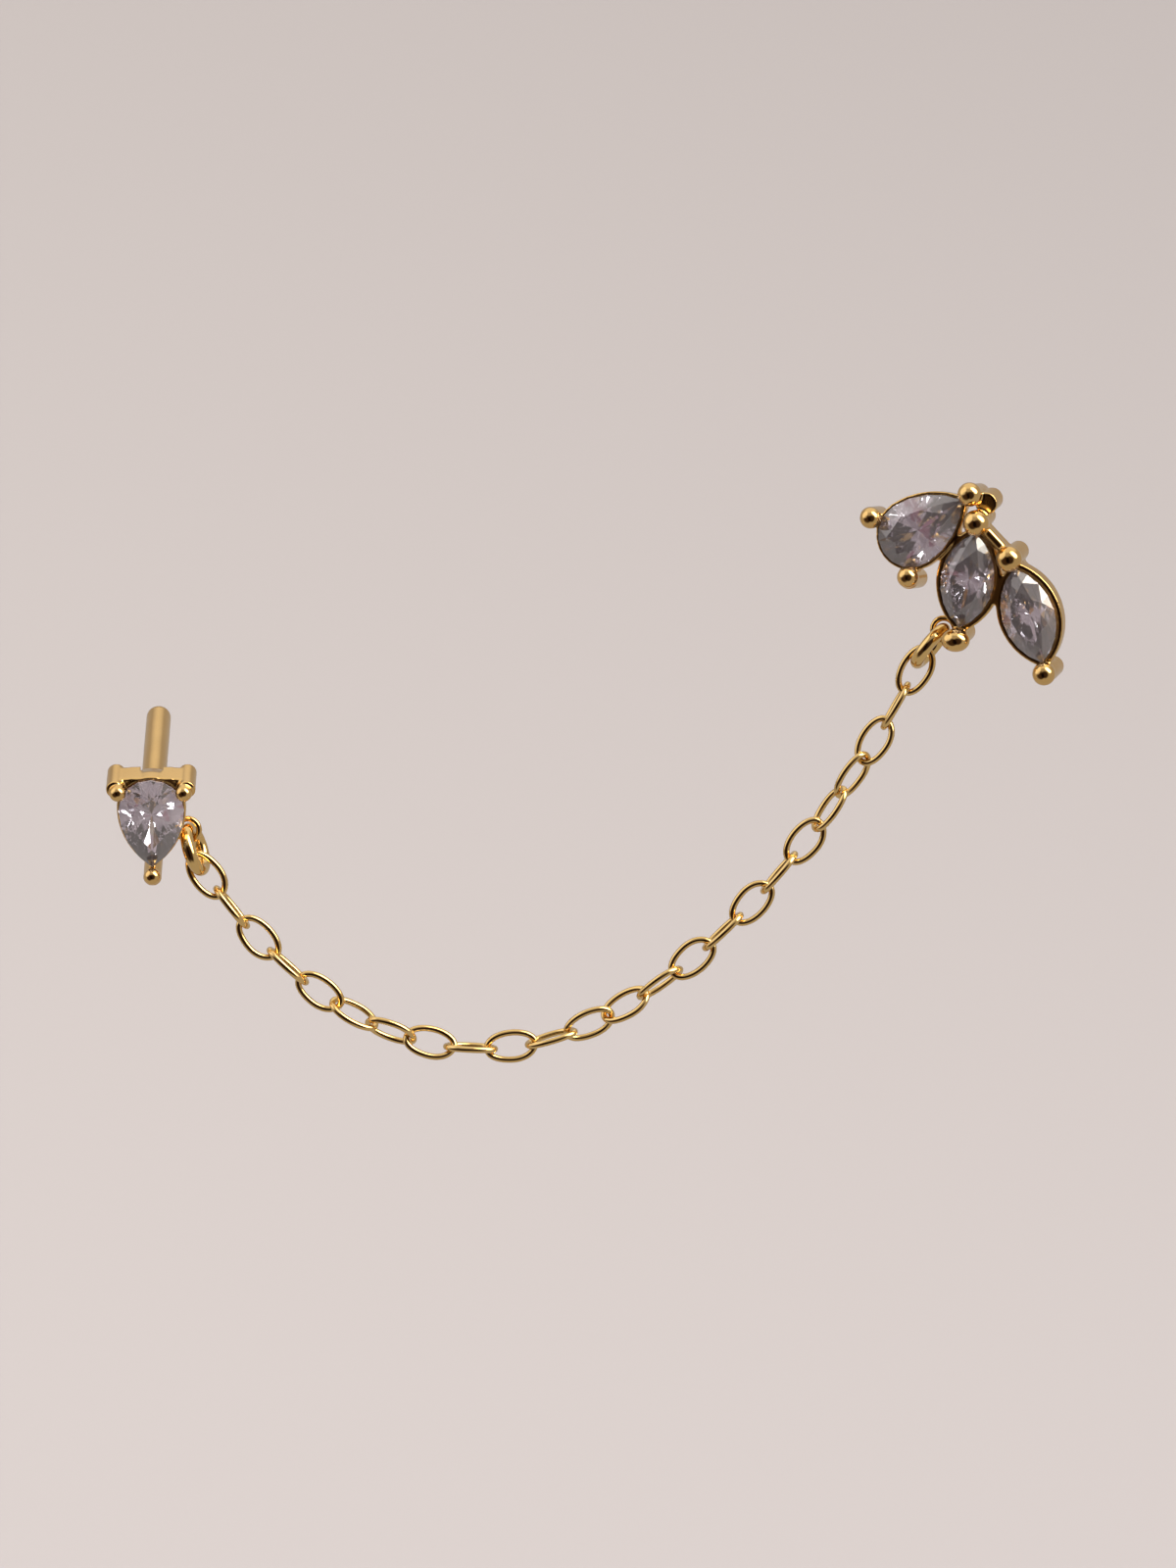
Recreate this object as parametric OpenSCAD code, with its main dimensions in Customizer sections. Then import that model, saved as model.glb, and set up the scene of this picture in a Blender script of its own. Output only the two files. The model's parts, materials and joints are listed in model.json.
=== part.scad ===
// Ear chain earring: a single pear stud and a three-stone cluster stud joined by a fine cable chain.
// The origin is the root of the cluster's post. X runs along the chain from the single stud to the cluster,
// Y runs along the wearer's piercing, away from whoever looks at the stones, and Z is up as it is worn.

/* [Stones] */
// Width of a pear stone
pear_width = 2.1; // [1.9:0.02:2.4]
// Length of a pear stone, round end to tip
pear_length = 3.08; // [2.9:0.02:3.4]
// Width of a marquise stone
marquise_width = 1.74; // [1.6:0.02:1.9]
// Length of a marquise stone, tip to tip
marquise_length = 3.16; // [3:0.02:3.4]
// Height of the crown above the girdle
crown_height = 0.33; // [0.25:0.01:0.4]
// Depth of the pavilion below the girdle
pavilion_depth = 0.86; // [0.7:0.01:0.9]
// Thickness of the girdle
girdle_thickness = 0.06; // [0.04:0.01:0.08]
// Table size as a share of the stone's outline
table_share = 0.57; // [0.5:0.01:0.62]

/* [Settings] */
// Height of the stones' girdle above the back of the setting
girdle_height = 1.2; // [1.15:0.01:1.4]
// How far the basket wall reaches in under the stone
seat_width = 0.16; // [0.12:0.01:0.2]
// Gap between the stone and its seat
seat_gap = 0.03; // [0.02:0.005:0.05]
// Height of the upright band round the top of a basket wall
wall_band = 0.46; // [0.4:0.02:0.5]
// How far a basket wall draws in under its stone from the band to its back
wall_taper = 0.2; // [0.14:0.01:0.22]
// How far the single stud's wall stands out past its stone
single_reach = 0.06; // [0.05:0.01:0.08]
// How far the marquises' walls stand out past their stones, so that the two walls run into each other
marquise_reach = 0.18; // [0.17:0.01:0.19]
// Diameter of the single stud's prong wire
single_wire = 0.58; // [0.5:0.01:0.6]
// Diameter of the cluster's prong wire
cluster_wire = 0.66; // [0.6:0.01:0.68]
// Diameter of the round heads on the single stud
single_head = 0.6; // [0.58:0.01:0.64]
// Diameter of the round heads on the cluster's outer prongs
small_head = 0.66; // [0.64:0.01:0.7]
// Diameter of the round heads where the cluster's baskets meet each other and the chain
large_head = 0.8; // [0.74:0.01:0.82]
// How far a prong's head reaches in over the edge of its stone
prong_grip = 0.05; // [0.02:0.01:0.05]
// Height of the prong heads' centre above the girdle
prong_rise = 0.27; // [0.26:0.01:0.34]
// Angle of the shoulder prongs from the middle of a pear's round end
shoulder_angle = 56; // [48:1:64]
// Thickness of the bridge across the back of a basket
bridge_thickness = 0.2; // [0.15:0.01:0.22]
// Overlap of parts that are soldered together
solder_overlap = 0.04; // [0.03:0.005:0.05]

/* [Cluster] */
// Turn of the inner marquise, anticlockwise seen from the front
inner_turn = -10.2; // [-14:0.1:-8]
// Turn of the outer marquise
outer_turn = 16.9; // [14:0.1:20]
// Turn of the pear stone, whose round end points up at zero
pear_turn = 124.8; // [120:0.1:128]
// Tilt of the pear's basket, which faces up from the plane of the two marquises
pear_tilt = 10; // [4:1:12]
// Direction of the outer marquise from the inner one where they come closest
outer_bearing = -13.7; // [-16:0.1:-11]
// Direction of the inner marquise from the pear where they come closest
pear_bearing = -37.1; // [-40:0.1:-34]
// Gap between the two marquise stones where they come closest
outer_gap = 0.3; // [0.26:0.01:0.31]
// Gap between the pear and the inner marquise where they come closest
pear_gap = 0.24; // [0.22:0.01:0.26]
// Diameter of the tie bar between the upper prongs of the two marquises
tie_bar = 0.34; // [0.28:0.01:0.36]
// Thickness of the web below the tie bar
tie_web = 0.26; // [0.2:0.01:0.28]
// Diameter of the crest bars, which join the pear's tip prong and the inner marquise's upper prong by a corner
crest_bar = 0.5; // [0.4:0.01:0.56]
// Diameter of the stub at the corner between the crest bars
crest_stub = 0.72; // [0.62:0.01:0.78]
// Height of the stub above the back of the setting
crest_height = 0.95; // [0.9:0.01:1.1]
// How far the stub stands to the side of the pear's tip prong
crest_side = 0.46; // [0.38:0.01:0.5]
// How far the stub stands below the pear's tip prong
crest_drop = 0.19; // [0.12:0.01:0.26]

/* [Posts] */
// Diameter of the posts
post_diameter = 0.8; // [0.7:0.05:1]
// Length of the posts behind the setting
post_length = 6; // [5:0.5:10]
// How far the cluster's post stands below the middle of the inner marquise
post_drop = 0.6; // [0.4:0.05:0.7]

/* [Chain eyes] */
// Diameter of the wire of the chain eyes
eye_wire = 0.2; // [0.18:0.01:0.24]
// Clearance round a jump ring's wire inside its eye
eye_clearance = 0.05; // [0.04:0.01:0.08]
// How deep the single stud's eye is let into its wall
single_eye_sink = 0.06; // [0.04:0.01:0.08]
// How deep the cluster's eye is let into its prong
cluster_eye_sink = 0.12; // [0.1:0.01:0.14]
// Height of the chain eyes above the back of the setting
eye_height = 0.25; // [0.22:0.01:0.3]
// Place of the single stud's eye down the side of the pear, as an angle of its side arc
single_eye_angle = 24.3; // [20:0.1:28]
// Direction of the cluster's eye from the inner marquise's lower prong
cluster_eye_bearing = 184; // [178:1:190]

/* [Chain] */
// Number of oval links
link_count = 24; // [23:1:27]
// Outer length of a link
link_length = 1.78; // [1.7:0.01:1.95]
// Outer width of a link
link_width = 1.1; // [1:0.01:1.25]
// Diameter of the link wire
link_wire = 0.21; // [0.18:0.01:0.24]
// Radius of the wire's centre line round a link's ends
link_end_radius = 0.3; // [0.27:0.01:0.33]
// Gap between two links where they pull on each other
link_gap = 0.04; // [0.035:0.005:0.05]
// Outer diameter of the jump rings
ring_diameter = 1.78; // [1.72:0.01:1.9]
// Diameter of the jump rings' wire
ring_wire = 0.42; // [0.38:0.01:0.43]
// Gap between a jump ring and the link that pulls on it, whose narrow end the thicker wire can't reach
ring_gap = 0.22; // [0.21:0.005:0.23]

/* [As worn] */
// Distance across from the single stud's post to the cluster's post
stud_span = 26.29; // [25.5:0.01:27]
// Height of the cluster's post above the single stud's post
stud_rise = 6.59; // [6:0.01:7.5]
// Angle by which the cluster faces towards the single stud
cluster_yaw = 15; // [10:1:20]
// Angle by which the cluster faces down
cluster_pitch = 3; // [0:1:6]
// Angle by which the single stud faces down
single_pitch = 16; // [10:1:22]
// Lean of the single stud's jump ring from upright
single_ring_lean = 19; // [14:1:24]
// Lean of the cluster's jump ring from upright
cluster_ring_lean = 38; // [32:1:42]
// Fall of the chain's first link, whose end is set in line on the single stud's jump ring
first_link_fall = 55.5; // [50:0.5:60]
// Turn of the single stud's jump ring about its own long line
single_ring_twist = 12; // [8:1:14]
// Turn of the cluster's jump ring about its own long line
cluster_ring_twist = 15; // [12:1:16]
// Number of links past the lowest point from which the chain is partly held up
held_from = 3; // [2:0.5:5]
// Share of a link's weight that pulls on the chain where it is partly held up
held_share = 0.68; // [0.55:0.01:1]

/* [Hidden] */
link_names = [for (i = [1:link_count]) str("link_", i < 10 ? "0" : "", i)];
$fn = 48;

gold = [0.85, 0.66, 0.3];
clear_stone = [0.84, 0.83, 0.88];

// Twist of the chain along its length: share of the links, then extra turn in degrees
chain_twist = [
    [0, 0],
    [0.19, 0],
    [0.38, 90],
    [0.45, 90],
    [0.64, 180],
    [0.79, 180],
    [0.96, 270],
    [1, 270]
];

// Facets: eight main facets go round a stone, with sixteen places on its girdle
mains = 8;
// Height of the star facets' lower corners, as a share of the crown
star_share = 0.68;
// Depth of the lower girdle facets' corners, as a share of the pavilion
lower_share = 0.77;
// Culet of a pear, as a share of the way from the round end's centre to the tip
pear_culet_share = 0.12;

// Outline of a pear: a half circle of radius pear_r, and two side arcs that meet at the tip
// The side arcs' axes are kept to whole microns, so that their walls meet the round end's face to face.
micron = 0.001;
pear_r = pear_width / 2;
pear_side_x = micron * round(((pear_length - pear_r) ^ 2 - pear_r ^ 2) / pear_width / micron);
pear_side_r = pear_r + pear_side_x;
pear_tip = sqrt(pear_side_r ^ 2 - pear_side_x ^ 2);

// Outline of a marquise: two arcs that meet at both tips
marquise_r = marquise_width / 2;
marquise_tip = marquise_length / 2;
marquise_side_x = (marquise_tip ^ 2 - marquise_r ^ 2) / marquise_width;
marquise_side_r = marquise_r + marquise_side_x;

// The wall of the cluster's pear stands out just far enough to be soldered to the inner marquise's wall
pear_reach = pear_gap + solder_overlap - marquise_reach;

wall_top = girdle_height - girdle_thickness / 2 - seat_gap;
band_bottom = wall_top - wall_band;
// How far a wall has drawn in at a height below its band
function wall_draw(height) = wall_taper * (1 - height / band_bottom);
// A prong's wire stands just clear of the girdle
single_prong_out = single_wire / 2 + seat_gap;
cluster_prong_out = cluster_wire / 2 + seat_gap;
head_height = girdle_height + prong_rise;
bridge_margin = 0.04;

eye_hole_r = ring_wire / 2 + eye_clearance;
eye_mid_r = eye_hole_r + eye_wire / 2;
eye_outer_r = eye_hole_r + eye_wire;

// Centres of the cluster's stones, set out by the arcs that face each other. The post is at the origin.
function turned(p, angle) = [p[0] * cos(angle) - p[1] * sin(angle), p[0] * sin(angle) + p[1] * cos(angle)];
inner_axis = [cos(inner_turn), sin(inner_turn)];
outer_axis = [cos(outer_turn), sin(outer_turn)];
pear_axis = [cos(pear_turn), sin(pear_turn)];
outer_distance = 2 * marquise_side_r + outer_gap;
pear_distance = marquise_side_r + pear_side_r + pear_gap;
inner_centre = turned([0, post_drop], inner_turn);
outer_centre = inner_centre - marquise_side_x * inner_axis
    + outer_distance * [cos(outer_bearing), sin(outer_bearing)] - marquise_side_x * outer_axis;
pear_centre = inner_centre + marquise_side_x * inner_axis
    - pear_distance * [cos(pear_bearing), sin(pear_bearing)] - pear_side_x * pear_axis;

// From the tilted axes of the cluster's pear to the cluster's own: the pear tilts about its girdle's middle
function tilted(p) = [
    pear_centre[0] + p[0],
    pear_centre[1] + p[1] * cos(pear_tilt) + (p[2] - girdle_height) * sin(pear_tilt),
    girdle_height - p[1] * sin(pear_tilt) + (p[2] - girdle_height) * cos(pear_tilt)
];

// Places in the plane of a stud's stones, from which the tie bar, the crest and the eyes are set
marquise_prong = marquise_tip + cluster_prong_out;
inner_top_prong = inner_centre + turned([0, marquise_prong], inner_turn);
outer_top_prong = outer_centre + turned([0, marquise_prong], outer_turn);
crest_middle = girdle_height / 2;
pear_tip_turned = turned([0, -pear_tip - cluster_prong_out], pear_turn);
pear_tip_prong = tilted([pear_tip_turned[0], pear_tip_turned[1], crest_middle]);
crest_corner = [pear_tip_prong[0] + crest_side, pear_tip_prong[1] - crest_drop];
cluster_eye_out = cluster_wire / 2 + eye_outer_r - cluster_eye_sink;
cluster_eye = inner_centre + turned([0, -marquise_prong], inner_turn)
    + cluster_eye_out * [cos(inner_turn + cluster_eye_bearing), sin(inner_turn + cluster_eye_bearing)];
single_eye_r = pear_side_r + single_reach - wall_draw(eye_height) + eye_outer_r - single_eye_sink;
single_eye = [single_eye_r * cos(single_eye_angle) - pear_side_x, -single_eye_r * sin(single_eye_angle)];

// Half lengths of the bridges, whose ends stand in the walls
bridge_inset = wall_taper + seat_width / 2 - solder_overlap / 2;
single_bridge = pear_r - bridge_inset;
cluster_bridge = sqrt(marquise_side_r ^ 2 - post_drop ^ 2) - marquise_side_x - bridge_inset;

// From a stud's own axes, with its stones facing +Z, to the worn part: a yaw about Z after a pitch about X
function worn(p, yaw, pitch) = [
    p[0] * cos(yaw) + (p[1] * sin(pitch) + p[2] * cos(pitch)) * sin(yaw),
    p[0] * sin(yaw) - (p[1] * sin(pitch) + p[2] * cos(pitch)) * cos(yaw),
    p[1] * cos(pitch) - p[2] * sin(pitch)
];
cluster_eye_place = worn([cluster_eye[0], cluster_eye[1], eye_height], -cluster_yaw, cluster_pitch);
single_eye_shift = worn([single_eye[0], single_eye[1], eye_height], 0, single_pitch);
// The single stud stands at the depth that brings both eyes, and so the chain, into one upright plane
single_post = [-stud_span, cluster_eye_place[1] - single_eye_shift[1], -stud_rise];
single_eye_place = single_post + single_eye_shift;
chain_y = cluster_eye_place[1];

ring_mid_r = (ring_diameter - ring_wire) / 2;
// Each jump ring hangs from its eye along a line that leans towards the chain
single_hang = [sin(single_ring_lean), 0, -cos(single_ring_lean)];
cluster_hang = [-sin(cluster_ring_lean), 0, -cos(cluster_ring_lean)];
single_ring_centre = single_eye_place + ring_mid_r * single_hang;
cluster_ring_centre = cluster_eye_place + ring_mid_r * cluster_hang;
// The chain starts and ends a little inside the rings' wire, in line with its first and last links
ring_to_joint = ring_wire / 2 + ring_gap - link_gap / 2;
chain_start = single_ring_centre + ring_mid_r * single_hang
    - ring_to_joint * [cos(first_link_fall), 0, -sin(first_link_fall)];
chain_end = cluster_ring_centre + (ring_mid_r - ring_to_joint) * cluster_hang;

// The chain hangs in links of equal pitch. The slope of each link grows by one step from link to link,
// as under even weight, and by a smaller step where the chain is partly held up.
pitch = link_length - 2 * link_wire - link_gap;
links_across = (chain_end[0] - chain_start[0]) / pitch;
links_up = (chain_end[2] - chain_start[2]) / pitch;
function slope_steps(s) = s < held_from ? s : held_from + (s - held_from) * held_share;
function link_angle(i, lowest, step) = atan(step * slope_steps(i - lowest));
function sum_up(lowest, step, i = 1) =
    i > link_count ? 0 : sin(link_angle(i, lowest, step)) + sum_up(lowest, step, i + 1);
function sum_across(lowest, step, i = 1) =
    i > link_count ? 0 : cos(link_angle(i, lowest, step)) + sum_across(lowest, step, i + 1);
// Link number of the lowest point that gives the rise between the ends, by halving
function find_lowest(step, low, high, n) =
    let (mid = (low + high) / 2)
    n == 0 ? mid
    : sum_up(mid, step) > links_up ? find_lowest(step, mid, high, n - 1)
    : find_lowest(step, low, mid, n - 1);
// Step of slope from link to link that gives the span between the ends, by halving
function find_step(low, high, n) =
    let (mid = (low + high) / 2)
    n == 0 ? mid
    : sum_across(find_lowest(mid, -link_count, link_count, 22), mid) > links_across ? find_step(mid, high, n - 1)
    : find_step(low, mid, n - 1);
slope_step = find_step(0.01, 2, 22);
lowest_link = find_lowest(slope_step, -link_count, link_count, 30);
link_angles = [for (i = [1:link_count]) link_angle(i, lowest_link, slope_step)];
function joint_place(i) =
    i == 0 ? chain_start
    : joint_place(i - 1) + pitch * [cos(link_angles[i - 1]), 0, sin(link_angles[i - 1])];
joints = [for (i = [0:link_count]) joint_place(i)];

// Centre line of half a link: five places round an end arc, then three along a side arc, each with its
// outward direction. The other half is the same, turned half way round.
wire_sides = 6;
oval_length = (link_length - link_wire) / 2;
oval_width = (link_width - link_wire) / 2;
end_x = oval_length - link_end_radius;
side_r = (end_x ^ 2 + oval_width ^ 2 - link_end_radius ^ 2) / (2 * (oval_width - link_end_radius));
side_y = side_r - oval_width;
arcs_meet = atan2(side_y, end_x);
end_angles = [for (k = [-2:2]) arcs_meet * k / 2];
side_angles = [for (k = [-1:1]) 90 + (90 - arcs_meet) * k / 2];
half_oval = concat(
    [for (a = end_angles) [end_x + link_end_radius * cos(a), link_end_radius * sin(a), cos(a), sin(a)]],
    [for (a = side_angles) [side_r * cos(a), side_r * sin(a) - side_y, cos(a), sin(a)]]
);

// Corners of a stone's outline at a share of the way round, clockwise from the top
function outline_side(share, top, bottom, side_r, side_x) =
    let (angle = top + (bottom - top) * share)
    [side_r * cos(angle) - side_x, side_r * sin(angle), angle];
function pear_half(share) =
    share <= 0.25 ? [pear_r * sin(360 * share), pear_r * cos(360 * share), 90 - 360 * share]
    : share == 0.5 ? [0, -pear_tip, -90]
    : outline_side(share * 4 - 1, 0, -acos(pear_side_x / pear_side_r), pear_side_r, pear_side_x);
function marquise_half(share) =
    share == 0 ? [0, marquise_tip, 90]
    : share == 0.5 ? [0, -marquise_tip, -90]
    : let (end = acos(marquise_side_x / marquise_side_r))
      outline_side(share * 2, end, -end, marquise_side_r, marquise_side_x);
function mirrored(p) = [-p[0], p[1], 180 - p[2]];
function pear_corner(share) = share <= 0.5 ? pear_half(share) : mirrored(pear_half(1 - share));
function marquise_corner(share) = share <= 0.5 ? marquise_half(share) : mirrored(marquise_half(1 - share));

// A main facet is a plane through the girdle's tangent, level along it, that reaches target at share 1.
// Two neighbouring mains cross at this place when both are cut at the given share of their height.
function facet_crossing(a, b, target_a, target_b, share) =
    let (
        na = [cos(a[2]), sin(a[2])],
        nb = [cos(b[2]), sin(b[2])],
        da = (1 - share) * (na * [a[0], a[1]]) + share * (na * target_a),
        db = (1 - share) * (nb * [b[0], b[1]]) + share * (nb * target_b),
        det = na[0] * nb[1] - na[1] * nb[0]
    )
    [(da * nb[1] - db * na[1]) / det, (na[0] * db - nb[0] * da) / det];

// Brilliant-cut stone on the given girdle corners: table, stars, kites, upper and lower girdle facets
module brilliant(corners, culet) {
    places = 2 * mains;
    half = girdle_thickness / 2;
    main = [for (k = [0:mains - 1]) corners[2 * k]];
    table = [for (m = main) culet + table_share * ([m[0], m[1]] - culet)];
    next = [for (k = [0:mains - 1]) (k + 1) % mains];
    stars = [for (k = [0:mains - 1])
        facet_crossing(main[k], main[next[k]], table[k], table[next[k]], star_share)];
    lowers = [for (k = [0:mains - 1])
        facet_crossing(main[k], main[next[k]], culet, culet, lower_share)];
    points = concat(
        [for (p = table) [p[0], p[1], half + crown_height]],
        [for (p = stars) [p[0], p[1], half + star_share * crown_height]],
        [for (p = corners) [p[0], p[1], half]],
        [for (p = corners) [p[0], p[1], -half]],
        [for (p = lowers) [p[0], p[1], -half - lower_share * pavilion_depth]],
        [[culet[0], culet[1], -half - pavilion_depth]]
    );
    star = mains;
    upper = 2 * mains;
    lower = upper + places;
    deep = lower + places;
    bottom = deep + mains;
    faces = concat(
        [[for (k = [0:mains - 1]) k]],
        [for (k = [0:mains - 1]) [k, star + k, next[k]]],
        [for (k = [0:mains - 1]) [next[k], star + k, upper + 2 * next[k], star + next[k]]],
        [for (k = [0:mains - 1]) [star + k, upper + 2 * k, upper + 2 * k + 1]],
        [for (k = [0:mains - 1]) [star + k, upper + 2 * k + 1, upper + 2 * next[k]]],
        [for (j = [0:places - 1])
            [upper + j, lower + j, lower + (j + 1) % places, upper + (j + 1) % places]],
        [for (k = [0:mains - 1]) [deep + k, lower + 2 * k + 1, lower + 2 * k]],
        [for (k = [0:mains - 1]) [deep + k, lower + 2 * next[k], lower + 2 * k + 1]],
        [for (k = [0:mains - 1]) [bottom, deep + next[k], lower + 2 * next[k], deep + k]]
    );
    polyhedron(points = points, faces = faces);
}

module pear_stone() {
    culet = [0, -pear_culet_share * pear_tip];
    color(clear_stone)
        translate([0, 0, girdle_height])
            brilliant([for (j = [0:2 * mains - 1]) pear_corner(j / (2 * mains))], culet);
}

module marquise_stone() {
    color(clear_stone)
        translate([0, 0, girdle_height])
            brilliant([for (j = [0:2 * mains - 1]) marquise_corner(j / (2 * mains))], [0, 0]);
}

// Section of a basket wall whose stone's outline has radius r: a band with a seat that slopes in under the
// stone, and below it a skirt that draws in
module wall_section(r, reach) {
    polygon([
        [r - seat_width - wall_taper, 0],
        [r + reach - wall_taper, 0],
        [r + reach, band_bottom],
        [r + reach, wall_top],
        [r, wall_top],
        [r - seat_width, wall_top - seat_width]
    ]);
}

// Half the length of one side of a basket wall: an arc about an axis at -side_x that runs down to the tip,
// cut off where it meets its mirror image
module wall_side(side_r, side_x, reach) {
    intersection() {
        mirror([0, 1, 0])
            translate([-side_x, 0, 0])
                rotate_extrude(angle = acos(side_x / (side_r + reach)) + 1)
                    wall_section(side_r, reach);
        translate([0, -2 * side_r, -1])
            cube([side_r, 4 * side_r, girdle_height + 2]);
    }
}

module pear_wall(reach) {
    rotate_extrude(angle = 180)
        wall_section(pear_r, reach);
    for (side = [0, 1])
        mirror([side, 0, 0])
            wall_side(pear_side_r, pear_side_x, reach);
}

module marquise_wall() {
    for (side = [0, 1], end = [0, 1])
        mirror([side, 0, 0])
            mirror([0, end, 0])
                wall_side(marquise_side_r, marquise_side_x, marquise_reach);
}

// Prong on the outward line at the given angle from a corner of the stone: its wire, which stops a little
// below the middle of the head, then its round head, which leans in over the stone
module prong(corner, angle, wire, head) {
    outward = [cos(angle), sin(angle)];
    foot = corner + (wire / 2 + seat_gap) * outward;
    ball = corner + (head / 2 - prong_grip) * outward;
    translate([foot[0], foot[1], 0])
        cylinder(d = wire, h = head_height - wire / 5);
    translate([ball[0], ball[1], head_height])
        sphere(d = head);
}

module pear_basket(reach, wire, shoulder_head, tip_head) {
    pear_wall(reach);
    for (side = [-1, 1]) {
        angle = 90 + side * shoulder_angle;
        prong(pear_r * [cos(angle), sin(angle)], angle, wire, shoulder_head);
    }
    prong([0, -pear_tip], -90, wire, tip_head);
}

module marquise_basket(lower_head) {
    marquise_wall();
    prong([0, marquise_tip], 90, cluster_wire, large_head);
    prong([0, -marquise_tip], -90, cluster_wire, lower_head);
}

// Flat bridge across a basket's back, with the post that stands on it
module bridge_and_post(half_width) {
    width = post_diameter + 2 * bridge_margin;
    translate([-half_width, -width / 2, 0])
        cube([2 * half_width, width, bridge_thickness]);
    translate([0, 0, post_diameter / 2 - post_length])
        cylinder(d = post_diameter, h = post_length - post_diameter / 2 + bridge_thickness / 2);
    translate([0, 0, post_diameter / 2 - post_length])
        sphere(d = post_diameter);
}

// Chain eye at its worn place, square to the jump ring's wire that hangs in it
module eye(place, lean, twist) {
    translate(place)
        as_ring(lean, twist)
            rotate([90, 0, 0])
                rotate_extrude()
                    translate([eye_mid_r, 0])
                        circle(d = eye_wire);
}

// Round bar between two prongs, with its middle at the given height
module tie(from, to, bar, height) {
    run = to - from;
    translate([from[0], from[1], height])
        rotate([0, 0, atan2(run[1], run[0])])
            rotate([0, 90, 0])
                cylinder(d = bar, h = norm(run));
}

// Tie bar at the level of the girdles, with an upright web below it
module marquise_tie() {
    run = outer_top_prong - inner_top_prong;
    tie(inner_top_prong, outer_top_prong, tie_bar, girdle_height - solder_overlap);
    translate([inner_top_prong[0], inner_top_prong[1], crest_middle])
        rotate([0, 0, atan2(run[1], run[0])])
            translate([0, -tie_web / 2, 0])
                cube([norm(run), tie_web, girdle_height - crest_middle]);
}

// Crest behind the heads of the pear's tip prong and the inner marquise's upper prong: two bars at half
// height that meet at an upright stub, and a web that fills the corner between them
module crest() {
    tie(pear_tip_prong, crest_corner, crest_bar, crest_middle);
    tie(crest_corner, inner_top_prong, crest_bar, crest_middle);
    translate([crest_corner[0], crest_corner[1], 0])
        cylinder(d = crest_stub, h = crest_height);
    translate([0, 0, crest_middle - crest_bar / 4])
        linear_extrude(height = crest_bar / 2)
            polygon([[pear_tip_prong[0], pear_tip_prong[1]], crest_corner, inner_top_prong]);
}

// Places a stud, whose stones face +Z in its own axes, as it is worn
module as_worn(place, yaw, pitch) {
    translate(place)
        rotate([90 + pitch, 0, yaw])
            children();
}

// Turns what is square to the axes into the stand of a jump ring with the given lean and twist
module as_ring(lean, twist) {
    rotate([0, lean, 0])
        rotate([0, 0, -twist])
            children();
}

module in_single() {
    as_worn(single_post, 0, single_pitch)
        children();
}

module in_cluster() {
    as_worn([0, 0, 0], -cluster_yaw, cluster_pitch)
        children();
}

module at_pear() {
    translate([pear_centre[0], pear_centre[1], girdle_height])
        rotate([-pear_tilt, 0, 0])
            translate([0, 0, -girdle_height])
                rotate([0, 0, pear_turn])
                    children();
}

module at_inner() {
    translate([inner_centre[0], inner_centre[1], 0])
        rotate([0, 0, inner_turn])
            children();
}

module at_outer() {
    translate([outer_centre[0], outer_centre[1], 0])
        rotate([0, 0, outer_turn])
            children();
}

module single_setting() {
    color(gold) {
        in_single() {
            pear_basket(single_reach, single_wire, single_head, single_head);
            bridge_and_post(single_bridge);
        }
        eye(single_eye_place, -single_ring_lean, single_ring_twist);
    }
}

module single_pear_stone() {
    in_single()
        pear_stone();
}

module cluster_setting() {
    color(gold) {
        in_cluster() {
            at_pear()
                pear_basket(pear_reach, cluster_wire, small_head, large_head);
            at_inner()
                marquise_basket(large_head);
            at_outer()
                marquise_basket(small_head);
            rotate([0, 0, inner_turn])
                bridge_and_post(cluster_bridge);
            marquise_tie();
            crest();
        }
        eye(cluster_eye_place, cluster_ring_lean, cluster_ring_twist);
    }
}

module cluster_pear_stone() {
    in_cluster()
        at_pear()
            pear_stone();
}

module inner_marquise_stone() {
    in_cluster()
        at_inner()
            marquise_stone();
}

module outer_marquise_stone() {
    in_cluster()
        at_outer()
            marquise_stone();
}

// A jump ring that hangs along -Z from its lean, edge-on but for its twist
module jump_ring(centre, lean, twist) {
    color(gold)
        translate(centre)
            as_ring(lean, twist)
                rotate([0, 90, 0])
                    rotate_extrude()
                        translate([ring_mid_r, 0])
                            circle(d = ring_wire);
}

module single_jump_ring() {
    jump_ring(single_ring_centre, -single_ring_lean, single_ring_twist);
}

module cluster_jump_ring() {
    jump_ring(cluster_ring_centre, cluster_ring_lean, cluster_ring_twist);
}

// Oval link in the XY plane, long way along X: round wire swept round two end arcs and two side arcs
module oval_link() {
    stations = 2 * len(half_oval);
    rings = [for (k = [0:stations - 1]) k < stations / 2 ? half_oval[k] : -half_oval[k - stations / 2]];
    points = [for (ring = rings) for (j = [0:wire_sides - 1])
        let (side = 360 * j / wire_sides, out = link_wire / 2 * cos(side))
        [ring[0] + out * ring[2], ring[1] + out * ring[3], link_wire / 2 * sin(side)]];
    faces = [for (k = [0:stations - 1]) for (j = [0:wire_sides - 1])
        let (here = k * wire_sides, there = (k + 1) % stations * wire_sides, next = (j + 1) % wire_sides)
        [here + j, here + next, there + next, there + j]];
    polyhedron(points = points, faces = faces);
}

// Links lie flat to the front and edge-on by turns, with the chain's slow twist added
module chain_link(i) {
    turn = 90 * i + lookup(i / link_count, chain_twist);
    color(gold)
        translate((joints[i - 1] + joints[i]) / 2)
            rotate([0, -link_angles[i - 1], 0])
                rotate([turn, 0, 0])
                    oval_link();
}

single_setting();
single_pear_stone();
single_jump_ring();
for (i = [1:link_count])
    chain_link(i);
cluster_jump_ring();
cluster_setting();
cluster_pear_stone();
inner_marquise_stone();
outer_marquise_stone();
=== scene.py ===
import json
import math

import bpy
import numpy as np
from mathutils import Matrix, Vector


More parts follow.
